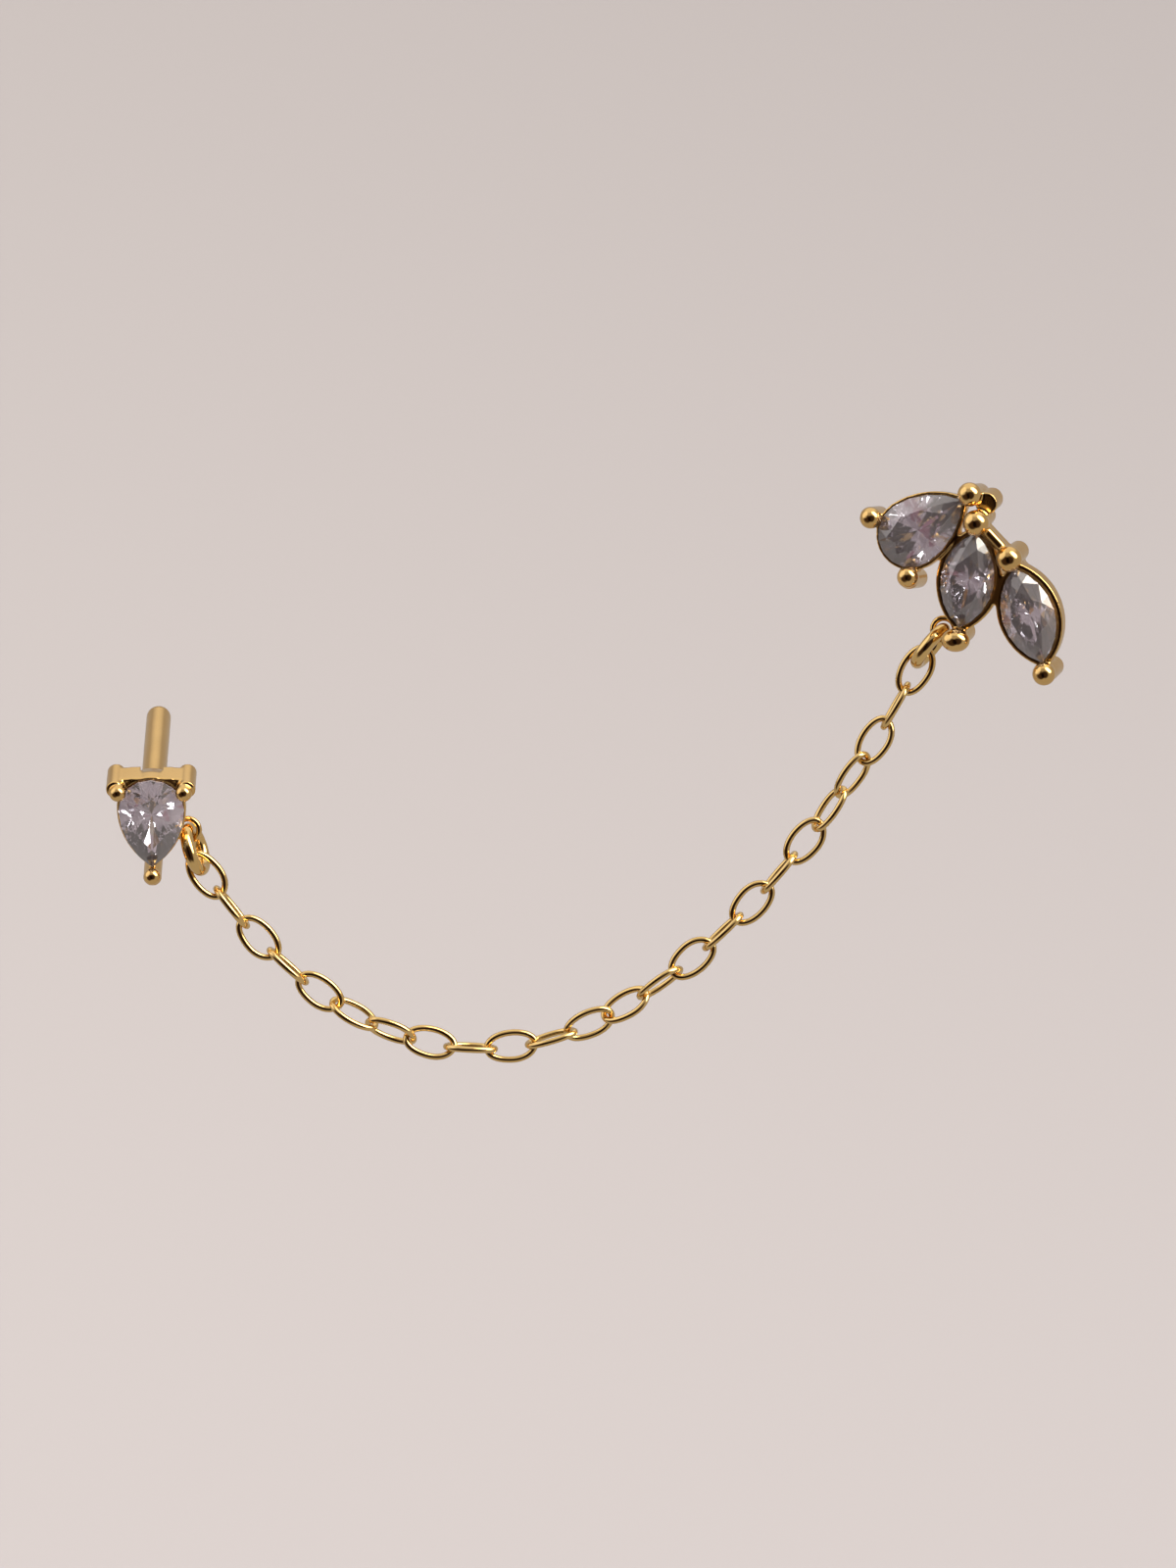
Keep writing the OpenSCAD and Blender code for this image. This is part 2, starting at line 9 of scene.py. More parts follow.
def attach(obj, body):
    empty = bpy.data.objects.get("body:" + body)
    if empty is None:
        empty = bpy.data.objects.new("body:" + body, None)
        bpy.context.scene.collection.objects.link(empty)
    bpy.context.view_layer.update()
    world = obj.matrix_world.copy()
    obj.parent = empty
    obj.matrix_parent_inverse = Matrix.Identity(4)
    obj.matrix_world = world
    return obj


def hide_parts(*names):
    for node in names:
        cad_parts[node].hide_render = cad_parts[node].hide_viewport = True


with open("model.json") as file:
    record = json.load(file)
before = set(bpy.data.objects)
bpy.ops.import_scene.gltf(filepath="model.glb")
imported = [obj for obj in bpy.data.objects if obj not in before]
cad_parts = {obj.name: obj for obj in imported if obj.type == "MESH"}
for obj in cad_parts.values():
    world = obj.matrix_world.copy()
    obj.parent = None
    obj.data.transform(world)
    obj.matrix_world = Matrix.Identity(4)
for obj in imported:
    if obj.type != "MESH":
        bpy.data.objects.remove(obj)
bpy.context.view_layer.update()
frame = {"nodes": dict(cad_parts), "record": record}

# Settings
# Each is cast in one piece: basket walls, prongs with ball heads, crest, tie bar, bridge and chain eye.
# The post is soldered to the bridge, and the whole is tumbled, polished and plated in warm yellow gold.
# They are modelled in millimetres on the stud's own axes: the stones face +Z and the post points to -Z.
MM = 0.001
seat_width = 0.16
seat_gap = 0.03
girdle_height = 1.2
wall_top = 1.14
band_bottom = 0.68
wall_taper = 0.2
single_reach = 0.06
pear_reach = 0.1
marquise_reach = 0.18
pear_tilt = math.radians(10)
side_steps = 24
round_end_steps = 32
single_wire = 0.59
cluster_wire = 0.66
single_head = 0.55
pear_shoulder_head = 0.7
pear_tip_head = 0.79
marquise_upper_head = 0.85
inner_lower_head = 0.84
inner_lower_flatten = 0.9
outer_lower_head = 0.75
prong_grip = 0.05
head_height = 1.47
body_share = 0.93
shoulder_angle = 56
gusset_start = 16
gusset_bulge = 0.42
gusset_drop = 0.03
bridge_thickness = 0.2
bridge_margin = 0.04
single_bridge = 0.79
cluster_bridge = 0.51
post_diameter = 0.8
post_length = 6.0
ring_diameter = 1.78
ring_wire = 0.42
eye_wire = 0.2
eye_hole = 0.52
tie_bar = 0.34
tie_drop = 0.04
tie_web = 0.26
crest_bar = 0.5
crest_stub = 0.72
crest_height = 0.95
crest_side = 0.46
crest_drop = 0.19
cast_grain = 0.036
tumble_strength = 0.5
tumble_passes = 6


def stud_axes(mount_name):
    """Places a stud from its own axes, in millimetres, on the post that the record's mount describes."""
    mount = next(m for m in frame["record"]["mounts"] if m["name"] == mount_name)
    along_post = Vector(mount["axis"]).normalized()
    root = Vector(mount["pos_m"]) - along_post * mount["dims"]["length_mm"] * MM / 2
    front = -along_post
    across = Vector((0, 0, 1)).cross(front).normalized()
    turn = Matrix((across, front.cross(across), front)).transposed().to_4x4()
    return Matrix.Translation(root) @ turn @ Matrix.Scale(MM, 4)


def wire_axes(node):
    """Where a ring or link of wire lies in the frame: its long way, wide way and axis, about its middle."""
    mesh = frame["nodes"][node].data
    corners = {tuple(round(c, 7) for c in v.co) for v in mesh.vertices}
    corners = np.array(sorted(corners))
    ways = np.linalg.svd(corners - corners.mean(axis=0))[2]
    ways[2] = np.cross(ways[0], ways[1])
    spread = corners @ ways.T
    middle = Vector((spread.max(axis=0) + spread.min(axis=0)) / 2 @ ways)
    turn = Matrix([list(way) for way in ways]).transposed().to_4x4()
    return Matrix.Translation(middle) @ turn @ Matrix.Scale(MM, 4)


class SetStone:
    """Outline of a set stone, measured on its node. Its own axes have the tip at -Y and the table at +Z.
    A tilt turns the stone and its basket about X, so that they face up from the stud's own plane."""

    def __init__(self, node, stud, is_pear, tilt=0.0):
        mesh = frame["nodes"][node].data
        to_level = Matrix.Rotation(tilt, 4, "X") @ stud.inverted()
        corners = {tuple(round(c, 4) for c in to_level @ v.co) for v in mesh.vertices}
        corners = np.array(sorted(corners))
        middle = corners[:, :2].mean(axis=0)
        tip = corners[np.argmax(np.linalg.norm(corners[:, :2] - middle, axis=1))]
        to_tip = (tip[:2] - middle) / np.linalg.norm(tip[:2] - middle)
        along = corners[:, :2] @ to_tip
        across = corners[:, :2] @ np.array([-to_tip[1], to_tip[0]])
        self.is_pear = is_pear
        self.r = (across.max() - across.min()) / 2
        length = along.max() - along.min()
        self.tip = length - self.r if is_pear else length / 2
        self.side_x = (self.tip ** 2 - self.r ** 2) / (2 * self.r)
        self.side_r = self.r + self.side_x
        centre = tip[:2] - to_tip * self.tip
        self.turn = math.atan2(to_tip[1], to_tip[0]) + math.pi / 2
        back = Matrix.Translation((centre[0], centre[1], tip[2] - girdle_height))
        self.place = Matrix.Rotation(-tilt, 4, "X") @ back @ Matrix.Rotation(self.turn, 4, "Z")


def deselect():
    bpy.ops.object.select_all(action="DESELECT")


def bent_bar(section, centre_x, start, end, steps):
    """A bar of the given section, spun about an upright axis at centre_x on the X axis, anticlockwise."""
    deselect()
    bpy.ops.mesh.primitive_circle_add(vertices=len(section), fill_type="NGON")
    bar = bpy.context.object
    for corner, (radius, height) in zip(bar.data.vertices, section):
        corner.co = (centre_x + radius * math.cos(start), radius * math.sin(start), height)
    bpy.ops.object.mode_set(mode="EDIT")
    bpy.ops.mesh.select_all(action="SELECT")
    bpy.ops.mesh.spin(steps=steps, angle=start - end, center=(centre_x, 0, 0), axis=(0, 0, 1))
    bpy.ops.mesh.select_all(action="SELECT")
    bpy.ops.mesh.normals_make_consistent(inside=False)
    bpy.ops.object.mode_set(mode="OBJECT")
    return bar


def basket_wall(stone, reach):
    """The wall round a stone, bent from arcs about the same axes as the stone's outline."""

    def section(r):
        return [
            (r - seat_width - wall_taper, 0),
            (r + reach - wall_taper, 0),
            (r + reach, band_bottom),
            (r + reach, wall_top),
            (r, wall_top),
            (r - seat_width, wall_top - seat_width),
        ]

    tip_angle = math.acos(stone.side_x / (stone.side_r + reach))
    start = 0 if stone.is_pear else tip_angle
    side = section(stone.side_r)
    bars = [
        bent_bar(side, -stone.side_x, -tip_angle, start, side_steps),
        bent_bar(side, stone.side_x, math.pi - start, math.pi + tip_angle, side_steps),
    ]
    if stone.is_pear:
        bars.append(bent_bar(section(stone.r), 0, 0, math.pi, round_end_steps))
    for bar in bars:
        bar.data.transform(stone.place)
    return bars


def round_bar(start, end, diameter):
    """A straight round bar from start to end, which are both in the stud's axes."""
    run = end - start
    deselect()
    bpy.ops.mesh.primitive_cylinder_add(vertices=32, radius=diameter / 2, depth=run.length)
    bar = bpy.context.object
    bar.data.transform(run.to_track_quat("Z", "Y").to_matrix().to_4x4())
    bar.data.transform(Matrix.Translation((start + end) / 2))
    return bar


def ball(centre, diameter, flatten=1.0):
    """A ball of melted metal. Below 1, flatten gives one that has spread sideways as it set."""
    deselect()
    bpy.ops.mesh.primitive_uv_sphere_add(segments=32, ring_count=20, radius=diameter / 2)
    made = bpy.context.object
    made.data.transform(Matrix.Diagonal((1 / flatten, flatten, 1, 1)))
    made.data.transform(Matrix.Translation(centre))
    return made


def prong(stone, angle, reach_y, head, body=cluster_wire, flatten=1.0):
    """A prong on the outward line from the outline: its body, and the ball head that leans in over the stone.
    It stands on the pear's round end, or where reach_y is given, at that tip of the outline. It comes with
    the place of its middle, half way up to the girdle."""
    outward = Vector((math.cos(angle), math.sin(angle), 0))
    corner = Vector((0, reach_y, 0)) if reach_y else outward * stone.r
    foot = corner + outward * (body / 2 + seat_gap)
    rise = Vector((0, 0, head_height))
    head_place = corner + outward * (head / 2 - prong_grip) + rise
    body_bar = round_bar(stone.place @ foot, stone.place @ (foot + rise * body_share), body)
    head_ball = ball(stone.place @ head_place, head, flatten)
    return [body_bar, head_ball], stone.place @ (foot + Vector((0, 0, girdle_height / 2)))


def web(outline, low, high):
    """Flat metal between bars or walls: the given outline, filled and raised from one height to another."""
    deselect()
    bpy.ops.mesh.primitive_circle_add(vertices=len(outline), fill_type="NGON")
    made = bpy.context.object
    for corner, place in zip(made.data.vertices, outline):
        corner.co = (place[0], place[1], low)
    bpy.ops.object.mode_set(mode="EDIT")
    bpy.ops.mesh.select_all(action="SELECT")
    bpy.ops.mesh.extrude_region_move(TRANSFORM_OT_translate={"value": (0, 0, high - low)})
    bpy.ops.mesh.select_all(action="SELECT")
    bpy.ops.mesh.normals_make_consistent(inside=False)
    bpy.ops.object.mode_set(mode="OBJECT")
    return made


def gusset(stone, side, reach, body):
    """Metal that fills the hollow between the round end's wall and a shoulder prong, level with both."""
    shoulder = math.radians(shoulder_angle)
    start = math.radians(gusset_start)
    foot = stone.r + seat_gap + body / 2
    outline = [
        ((stone.r + reach) * math.sin(start), (stone.r + reach) * math.cos(start)),
        (foot * math.sin(shoulder), foot * math.cos(shoulder) + gusset_bulge * body),
        (foot * math.sin(shoulder), foot * math.cos(shoulder)),
        (stone.r * math.sin(shoulder), stone.r * math.cos(shoulder)),
    ]
    made = web([(side * x, y) for x, y in outline], wall_taper, wall_top - gusset_drop)
    made.data.transform(stone.place)
    return made


def pear_basket(stone, reach, shoulder_head, tip_head, body=cluster_wire, gussets=False):
    """Wall and three prongs of a pear, and the place of the tip prong."""
    parts = basket_wall(stone, reach)
    for side in (-1, 1):
        made, _ = prong(stone, math.radians(90 - side * shoulder_angle), 0, shoulder_head, body)
        parts += made
        if gussets:
            parts.append(gusset(stone, side, reach, body))
    made, tip = prong(stone, -math.pi / 2, -stone.tip, tip_head, body)
    return parts + made, tip


def marquise_basket(stone, upper_head, lower_head, lower_flatten=1.0):
    """Wall and two prongs of a marquise, and the place of the upper prong."""
    upper = 1 if (stone.place.to_3x3() @ Vector((0, 1, 0))).y > 0 else -1
    parts = basket_wall(stone, marquise_reach)
    made, top = prong(stone, upper * math.pi / 2, upper * stone.tip, upper_head)
    parts += made
    made, _ = prong(stone, -upper * math.pi / 2, -upper * stone.tip, lower_head, cluster_wire, lower_flatten)
    return parts + made, top


def bridge_and_post(stone, half_width):
    """A flat bridge across the back of a basket, and the straight post on it with its rounded end."""
    deselect()
    bpy.ops.mesh.primitive_cube_add(size=1)
    bridge = bpy.context.object
    size = (2 * half_width, post_diameter + 2 * bridge_margin, bridge_thickness)
    bridge.data.transform(Matrix.Diagonal((*size, 1)))
    bridge.data.transform(Matrix.Translation((0, 0, bridge_thickness / 2)))
    bridge.data.transform(Matrix.Rotation(stone.turn, 4, "Z"))
    end = Vector((0, 0, post_diameter / 2 - post_length))
    root = Vector((0, 0, bridge_thickness / 2))
    return [bridge, round_bar(end, root, post_diameter), ball(end, post_diameter)]


def chain_eye(ring_node, stud):
    """The eye that a jump ring hangs in: round the ring's wire at its highest point, and square to it."""
    ring = wire_axes(ring_node)
    axis = ring.col[2].to_3d().normalized()
    up = axis.cross(Vector((0, 1, 0))).normalized()
    up = up if up.z > 0 else -up
    along_wire = axis.cross(up)
    top = ring.translation + up * (ring_diameter - ring_wire) / 2 * MM
    turn = Matrix((up, along_wire.cross(up), along_wire)).transposed().to_4x4()
    deselect()
    bpy.ops.mesh.primitive_torus_add(
        major_segments=48,
        minor_segments=20,
        major_radius=(eye_hole + eye_wire) / 2,
        minor_radius=eye_wire / 2,
    )
    eye = bpy.context.object
    eye.data.transform(stud.inverted() @ Matrix.Translation(top) @ turn @ Matrix.Scale(MM, 4))
    return eye


def cast_in_one(parts, name, stud):
    """Joins the parts, fuses them with soft fillets as in a casting, and puts the setting in its place."""
    deselect()
    for part in parts:
        part.select_set(True)
    bpy.context.view_layer.objects.active = parts[0]
    bpy.ops.object.join()
    setting = bpy.context.object
    fuse = setting.modifiers.new("fuse", "REMESH")
    fuse.mode = "VOXEL"
    fuse.voxel_size = cast_grain
    tumble = setting.modifiers.new("tumble", "SMOOTH")
    tumble.factor = tumble_strength
    tumble.iterations = tumble_passes
    for modifier in ("fuse", "tumble"):
        bpy.ops.object.modifier_apply(modifier=modifier)
    setting.data.transform(stud)
    setting.name = setting.data.name = name
    bpy.ops.object.shade_smooth()
    return setting


single_stud = stud_axes("single_post")
single_pear = SetStone("single_pear_stone", single_stud, True)
parts, _ = pear_basket(single_pear, single_reach, single_head, single_head, single_wire, gussets=True)
parts += bridge_and_post(single_pear, single_bridge)
parts.append(chain_eye("single_jump_ring", single_stud))
single_setting = cast_in_one(parts, "single_cast_setting", single_stud)

cluster_stud = stud_axes("cluster_post")
cluster_pear = SetStone("cluster_pear_stone", cluster_stud, True, pear_tilt)
inner_marquise = SetStone("inner_marquise_stone", cluster_stud, False)
outer_marquise = SetStone("outer_marquise_stone", cluster_stud, False)
parts, pear_tip = pear_basket(cluster_pear, pear_reach, pear_shoulder_head, pear_tip_head)
made, inner_top = marquise_basket(inner_marquise, marquise_upper_head, inner_lower_head, inner_lower_flatten)
parts += made
made, outer_top = marquise_basket(outer_marquise, marquise_upper_head, outer_lower_head)
parts += made + bridge_and_post(inner_marquise, cluster_bridge)

# The tie bar and its web between the upper prongs of the marquises
half_way = girdle_height / 2
to_tie = Vector((0, 0, girdle_height - tie_drop - half_way))
parts.append(round_bar(inner_top + to_tie, outer_top + to_tie, tie_bar))
aside = (outer_top - inner_top).normalized().cross(Vector((0, 0, tie_web / 2)))
below_tie = [inner_top - aside, outer_top - aside, outer_top + aside, inner_top + aside]
parts.append(web(below_tie, half_way, girdle_height))

# The crest behind the heads: two bars that meet at an upright stub, and a web in their corner
pear_tip.z = half_way
crest_corner = pear_tip + Vector((crest_side, -crest_drop, 0))
parts.append(round_bar(pear_tip, crest_corner, crest_bar))
parts.append(round_bar(crest_corner, inner_top, crest_bar))
stub_foot = Vector((crest_corner.x, crest_corner.y, 0))
parts.append(round_bar(stub_foot, stub_foot + Vector((0, 0, crest_height)), crest_stub))
in_corner = [pear_tip, crest_corner, inner_top]
parts.append(web(in_corner, half_way - crest_bar / 4, half_way + crest_bar / 4))
parts.append(chain_eye("cluster_jump_ring", cluster_stud))
cluster_setting = cast_in_one(parts, "cluster_cast_setting", cluster_stud)


def polish_group():
    """Fine marks of tumbling and polishing: soft hollows, a slow tint and hairlines, in scales per metre."""
    group = bpy.data.node_groups.new("polish_marks", "ShaderNodeTree")
    for name, kind, default in (
        ("Vector", "NodeSocketVector", None),
        ("Hollows", "NodeSocketFloat", 900.0),
        ("Hairlines", "NodeSocketFloat", 9000.0),
        ("Least Roughness", "NodeSocketFloat", 0.08),
        ("Most Roughness", "NodeSocketFloat", 0.2),
    ):
        socket = group.interface.new_socket(name, in_out="INPUT", socket_type=kind)
        if default is not None:
            socket.default_value = default
    for name in ("Tint", "Roughness", "Height"):
        group.interface.new_socket(name, in_out="OUTPUT", socket_type="NodeSocketFloat")
    nodes, links = group.nodes, group.links
    inward, outward = nodes.new("NodeGroupInput"), nodes.new("NodeGroupOutput")
    hollows, hairlines, tint = (nodes.new("ShaderNodeTexNoise") for _ in range(3))
    for noise, scale in ((hollows, "Hollows"), (hairlines, "Hairlines")):
        links.new(inward.outputs["Vector"], noise.inputs["Vector"])
        links.new(inward.outputs[scale], noise.inputs["Scale"])
    links.new(inward.outputs["Vector"], tint.inputs["Vector"])
    tint.inputs["Scale"].default_value = 420.0
    hollows.inputs["Detail"].default_value = 1.5
    tint.inputs["Detail"].default_value = 3.0
    hairlines.inputs["Detail"].default_value = 4.0
    spread = nodes.new("ShaderNodeMapRange")
    links.new(hairlines.outputs["Fac"], spread.inputs["Value"])
    spread.inputs["From Min"].default_value = 0.35
    spread.inputs["From Max"].default_value = 0.7
    links.new(inward.outputs["Least Roughness"], spread.inputs["To Min"])
    links.new(inward.outputs["Most Roughness"], spread.inputs["To Max"])
    links.new(spread.outputs["Result"], outward.inputs["Roughness"])
    links.new(tint.outputs["Fac"], outward.inputs["Tint"])
    links.new(hollows.outputs["Fac"], outward.inputs["Height"])
    return group


def gold_material(name, light, deep, hollows, depth, least, most):
    """Polished gold plate between a light and a deep tone, with hollows of the given scale and depth."""
    material = bpy.data.materials.new(name)
    material.use_nodes = True
    nodes, links = material.node_tree.nodes, material.node_tree.links
    shader = nodes["Principled BSDF"]
    shader.inputs["Metallic"].default_value = 1.0
    place = nodes.new("ShaderNodeTexCoord")
    marks = nodes.new("ShaderNodeGroup")
    marks.node_tree = bpy.data.node_groups.get("polish_marks") or polish_group()
    marks.inputs["Hollows"].default_value = hollows
    marks.inputs["Least Roughness"].default_value = least
    marks.inputs["Most Roughness"].default_value = most
    colours = nodes.new("ShaderNodeMix")
    colours.data_type = "RGBA"
    colours.inputs["A"].default_value = (*light, 1)
    colours.inputs["B"].default_value = (*deep, 1)
    bump = nodes.new("ShaderNodeBump")
    bump.inputs["Distance"].default_value = depth
    bump.inputs["Strength"].default_value = 1.0
    links.new(place.outputs["Object"], marks.inputs["Vector"])
    links.new(marks.outputs["Tint"], colours.inputs["Factor"])
    links.new(colours.outputs["Result"], shader.inputs["Base Color"])
    links.new(marks.outputs["Roughness"], shader.inputs["Roughness"])
    links.new(marks.outputs["Height"], bump.inputs["Height"])
    links.new(bump.outputs["Normal"], shader.inputs["Normal"])
    return material


cast_gold = gold_material("cast_gold", (0.88, 0.60, 0.25), (0.72, 0.46, 0.16), 800, 0.000014, 0.07, 0.16)
for setting, node in ((single_setting, "single_setting"), (cluster_setting, "cluster_setting")):
    setting.data.materials.clear()
    setting.data.materials.append(cast_gold)
    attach(setting, "root")
    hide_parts(node)

# Stones
# Clear cut zirconia with flat polished facets, two pears and two marquises, each pressed into its basket.
# A trace of haze inside gives them a lilac grey body in the light of a room, with white sparks.
zirconia = bpy.data.materials.new("clear_zirconia")
zirconia.use_nodes = True
nodes, links = zirconia.node_tree.nodes, zirconia.node_tree.links
shader = nodes["Principled BSDF"]
shader.inputs["Transmission Weight"].default_value = 0.88
shader.inputs["IOR"].default_value = 2.16
place = nodes.new("ShaderNodeTexCoord")
haze = nodes.new("ShaderNodeTexNoise")
haze.inputs["Scale"].default_value = 1500.0
links.new(place.outputs["Object"], haze.inputs["Vector"])
tone = nodes.new("ShaderNodeMix")
tone.data_type = "RGBA"
tone.inputs["A"].default_value = (0.93, 0.90, 0.94, 1)
tone.inputs["B"].default_value = (0.78, 0.73, 0.78, 1)
links.new(haze.outputs["Fac"], tone.inputs["Factor"])
links.new(tone.outputs["Result"], shader.inputs["Base Color"])
wear = nodes.new("ShaderNodeMapRange")
wear.inputs["To Min"].default_value = 0.0
wear.inputs["To Max"].default_value = 0.02
links.new(haze.outputs["Fac"], wear.inputs["Value"])
links.new(wear.outputs["Result"], shader.inputs["Roughness"])
for node in ("single_pear_stone", "cluster_pear_stone", "inner_marquise_stone", "outer_marquise_stone"):
    stone = frame["nodes"][node]
    stone.data.materials.clear()
    stone.data.materials.append(zirconia)

# Jump rings
# Two round rings of thick round wire, each wound, cut, closed through its eye and the chain, and soldered.
# They hang almost edge-on to the front, and take the chain's first and last links.


def finish_wire(piece, name, node, material):
    """Puts a ring or link where its node lies, and gives it its name, finish and body."""
    piece.data.transform(wire_axes(node))
    piece.name = piece.data.name = name
    piece.data.materials.clear()
    piece.data.materials.append(material)
    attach(piece, "root")
    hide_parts(node)


wire_gold = gold_material("wire_gold", (0.88, 0.63, 0.27), (0.80, 0.54, 0.20), 700, 0.000003, 0.07, 0.13)
for node in ("single_jump_ring", "cluster_jump_ring"):
    deselect()
    bpy.ops.mesh.primitive_torus_add(
        major_segments=96,
        minor_segments=28,
        major_radius=(ring_diameter - ring_wire) / 2,
        minor_radius=ring_wire / 2,
    )
    ring = bpy.context.object
    bpy.ops.object.shade_smooth()
    finish_wire(ring, node + "_wire", node, wire_gold)

# Chain
# A fine cable chain of equal oval links in round drawn wire. Each link is bent through the one before it,
# closed and soldered, and turned a quarter from it.
link_length = 1.78
link_width = 1.1
link_wire = 0.21
end_handle = 0.265
side_handle = 0.434

deselect()
bpy.ops.curve.primitive_bezier_circle_add(radius=1)
oval = bpy.context.object
half_length = (link_length - link_wire) / 2
half_width = (link_width - link_wire) / 2
for point in oval.data.splines[0].bezier_points:
    point.handle_left_type = point.handle_right_type = "FREE"
    at_end = abs(point.co.x) > abs(point.co.y)
    handle = end_handle if at_end else side_handle
    before = (point.handle_left - point.co).normalized() * handle
    after = (point.handle_right - point.co).normalized() * handle
    point.co = (point.co.x * half_length, point.co.y * half_width, 0)
    point.handle_left = point.co + before
    point.handle_right = point.co + after
oval.data.resolution_u = 16
oval.data.bevel_depth = link_wire / 2
oval.data.bevel_resolution = 4
deselect()
oval.select_set(True)
bpy.context.view_layer.objects.active = oval
bpy.ops.object.convert(target="MESH")
bpy.ops.object.shade_smooth()
link_nodes = sorted(node for node in frame["nodes"] if node.startswith("link_"))
for node in link_nodes:
    link = bpy.data.objects.new(node + "_wire", oval.data.copy())
    bpy.context.scene.collection.objects.link(link)
    finish_wire(link, node + "_wire", node, wire_gold)
bpy.data.objects.remove(oval)

# Studio
# A pale round backdrop that curves up from the floor, well clear of the earring, which hangs as it is worn.
# It takes the room's light and neither shades the earring nor shows in its metal.
floor_drop = 0.2
backdrop_radius = 0.8
backdrop_height = 0.9
cove_radius = 0.35

deselect()
bpy.ops.mesh.primitive_cylinder_add(vertices=128, radius=backdrop_radius, depth=backdrop_height)
backdrop = bpy.context.object
backdrop.data.transform(Matrix.Translation((0, 0, backdrop_height / 2 - floor_drop)))
bpy.ops.object.mode_set(mode="EDIT")
bpy.ops.mesh.select_mode(type="FACE")
bpy.ops.object.mode_set(mode="OBJECT")
for face in backdrop.data.polygons:
    face.select = face.normal.z > 0.9
bpy.ops.object.mode_set(mode="EDIT")
bpy.ops.mesh.delete(type="FACE")
bpy.ops.mesh.select_mode(type="EDGE")
bpy.ops.object.mode_set(mode="OBJECT")
for edge in backdrop.data.edges:
    edge.select = all(backdrop.data.vertices[v].co.z < MM - floor_drop for v in edge.vertices)
bpy.ops.object.mode_set(mode="EDIT")
bpy.ops.mesh.bevel(offset=cove_radius, segments=16, affect="EDGES")
bpy.ops.object.mode_set(mode="OBJECT")
bpy.ops.object.shade_smooth()
backdrop.name = "backdrop"
paper = bpy.data.materials.new("pale_paper")
paper.use_nodes = True
paper.node_tree.nodes["Principled BSDF"].inputs["Base Color"].default_value = (0.485, 0.468, 0.50, 1)
paper.node_tree.nodes["Principled BSDF"].inputs["Roughness"].default_value = 0.9
backdrop.data.materials.append(paper)
backdrop.visible_glossy = False
backdrop.visible_transmission = False
backdrop.visible_diffuse = False
backdrop.visible_shadow = False

# Room light
# A soft even room with a tall window high on the right and a darker side in front, as the gold mirrors it.
# The stones have a light of their own, as on a jeweller's table: small lamps and patches of wine-red cloth.
# A patch: its bearing from the front towards +X, elevation, half width and soft edge in degrees, and colour
room_tone = (0.45, 0.41, 0.38)
room_shades = [
    (-38, -8, 28, 20, (0.11, 0.07, 0.05)),
    (6, 0, 27, 16, (0.09, 0.06, 0.05)),
]
room_lights = [
    (66, 28, 13, 7, (5.2, 4.8, 4.1)),
    (58, 44, 13, 7, (5.2, 4.8, 4.1)),
    (50, 59, 11, 7, (3.8, 3.5, 3.1)),
    (-80, 30, 20, 18, (0.8, 0.77, 0.77)),
    (180, 75, 26, 24, (0.5, 0.48, 0.46)),
]
stone_tone = (0.54, 0.455, 0.475)
stone_shades = [
    (-35, -20, 22, 16, (0.62, 0.58, 0.62)),
    (30, 50, 18, 14, (0.6, 0.58, 0.62)),
    (150, 10, 24, 18, (0.55, 0.50, 0.55)),
    (-50, -10, 13, 5, (0.74, 0.36, 0.46)),
    (28, -14, 12, 5, (0.70, 0.34, 0.44)),
    (110, 40, 13, 6, (0.70, 0.36, 0.46)),
    (-120, -40, 14, 6, (0.70, 0.36, 0.46)),
]
stone_lights = [
    (48, 40, 9, 2, (7, 6.9, 6.8)),
    (-34, 42, 7, 1.5, (8, 8, 8.3)),
    (20, 14, 5.5, 1.5, (8, 8, 8)),
    (-8, -30, 5.5, 1.5, (7, 7, 7.3)),
    (76, -6, 7, 2, (7, 6.8, 6.6)),
    (-80, 4, 8, 2, (5, 5, 5.3)),
    (-20, 68, 7, 2, (7, 7, 7)),
    (140, 30, 7, 2, (6, 6, 6)),
]
world = bpy.data.worlds.new("room")
bpy.context.scene.world = world
world.use_nodes = True
nodes, links = world.node_tree.nodes, world.node_tree.links
nodes.clear()
looking = nodes.new("ShaderNodeTexCoord")


def patch(bearing, elevation, half_width, soft_edge):
    """A round soft patch of the room: 1 inside, 0 outside."""
    a, e = math.radians(bearing), math.radians(elevation)
    towards = nodes.new("ShaderNodeVectorMath")
    towards.operation = "DOT_PRODUCT"
    towards.inputs[1].default_value = (math.sin(a) * math.cos(e), -math.cos(a) * math.cos(e), math.sin(e))
    links.new(looking.outputs["Generated"], towards.inputs[0])
    edge = nodes.new("ShaderNodeMapRange")
    edge.interpolation_type = "SMOOTHSTEP"
    edge.inputs["From Min"].default_value = math.cos(math.radians(half_width + soft_edge))
    edge.inputs["From Max"].default_value = math.cos(math.radians(half_width))
    links.new(towards.outputs["Value"], edge.inputs["Value"])
    return edge.outputs["Result"]


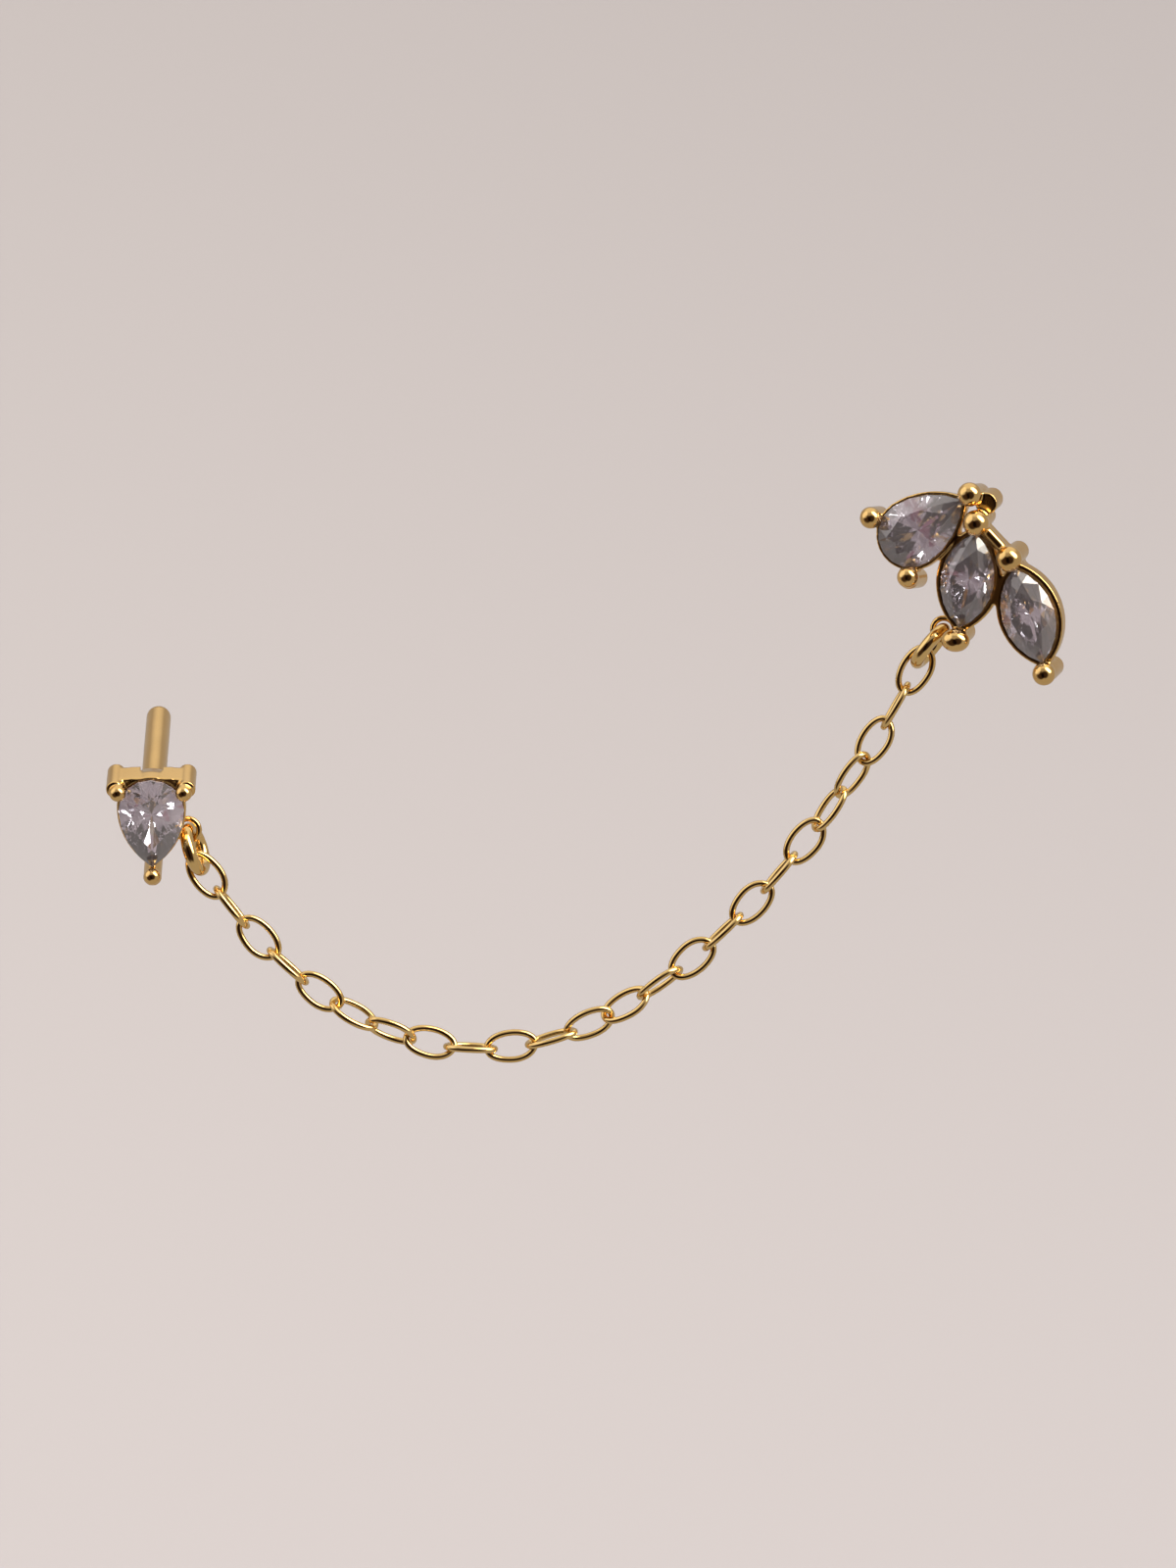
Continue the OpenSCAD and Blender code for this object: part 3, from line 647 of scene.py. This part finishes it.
def mixed(kind, factor, a, b):
    """Mixes two colours, each of which is plain or comes from another node."""
    mix = nodes.new("ShaderNodeMix")
    mix.data_type = "RGBA"
    mix.blend_type = kind
    links.new(factor, mix.inputs["Factor"])
    for name, value in (("A", a), ("B", b)):
        if isinstance(value, tuple):
            mix.inputs[name].default_value = (*value, 1)
        else:
            links.new(value, mix.inputs[name])
    return mix.outputs["Result"]


def surroundings(tone, shades, lights):
    """An even tone with shades, which darken it to a share, and lights, which add to it."""
    light = tone
    for bearing, elevation, half_width, soft_edge, share in shades:
        light = mixed("MULTIPLY", patch(bearing, elevation, half_width, soft_edge), light, share)
    for bearing, elevation, half_width, soft_edge, colour in lights:
        light = mixed("ADD", patch(bearing, elevation, half_width, soft_edge), light, colour)
    return light


seen = nodes.new("ShaderNodeLightPath")
light = mixed(
    "MIX",
    seen.outputs["Is Transmission Ray"],
    surroundings(room_tone, room_shades, room_lights),
    surroundings(stone_tone, stone_shades, stone_lights),
)
plain_beyond = (0.67, 0.60, 0.58)
shown = mixed("MIX", seen.outputs["Is Camera Ray"], light, plain_beyond)
background = nodes.new("ShaderNodeBackground")
links.new(shown, background.inputs["Color"])
room = nodes.new("ShaderNodeOutputWorld")
links.new(background.outputs["Background"], room.inputs["Surface"])

# Camera
# The photograph looks down on the earring a little from the front. The picture takes the part of its
# 1200 x 1600 frame that holds the earring.
photo_scale = 17.0
post_at = (859.3, 585.35)
window_centre = (650.0, 690.5)
window_height = 853.0
camera_elevation = math.radians(10)
camera_distance = 0.35
camera_data = bpy.data.cameras.new("camera")
camera = bpy.data.objects.new("camera", camera_data)
bpy.context.scene.collection.objects.link(camera)
forward = Vector((0, math.cos(camera_elevation), -math.sin(camera_elevation)))
upward = Vector((0, math.sin(camera_elevation), math.cos(camera_elevation)))
right_by = (window_centre[0] - post_at[0]) / photo_scale * MM
up_by = (post_at[1] - window_centre[1]) / photo_scale * MM
camera.location = Vector((right_by, 0, 0)) + upward * up_by - forward * camera_distance
camera.rotation_mode = "QUATERNION"
camera.rotation_quaternion = forward.to_track_quat("-Z", "Y")
camera_data.lens = camera_data.sensor_width * camera_distance / (window_height / photo_scale * MM)
camera_data.clip_start = 0.01
camera_data.clip_end = 10
bpy.context.scene.camera = camera
bpy.context.scene.view_settings.view_transform = "Standard"
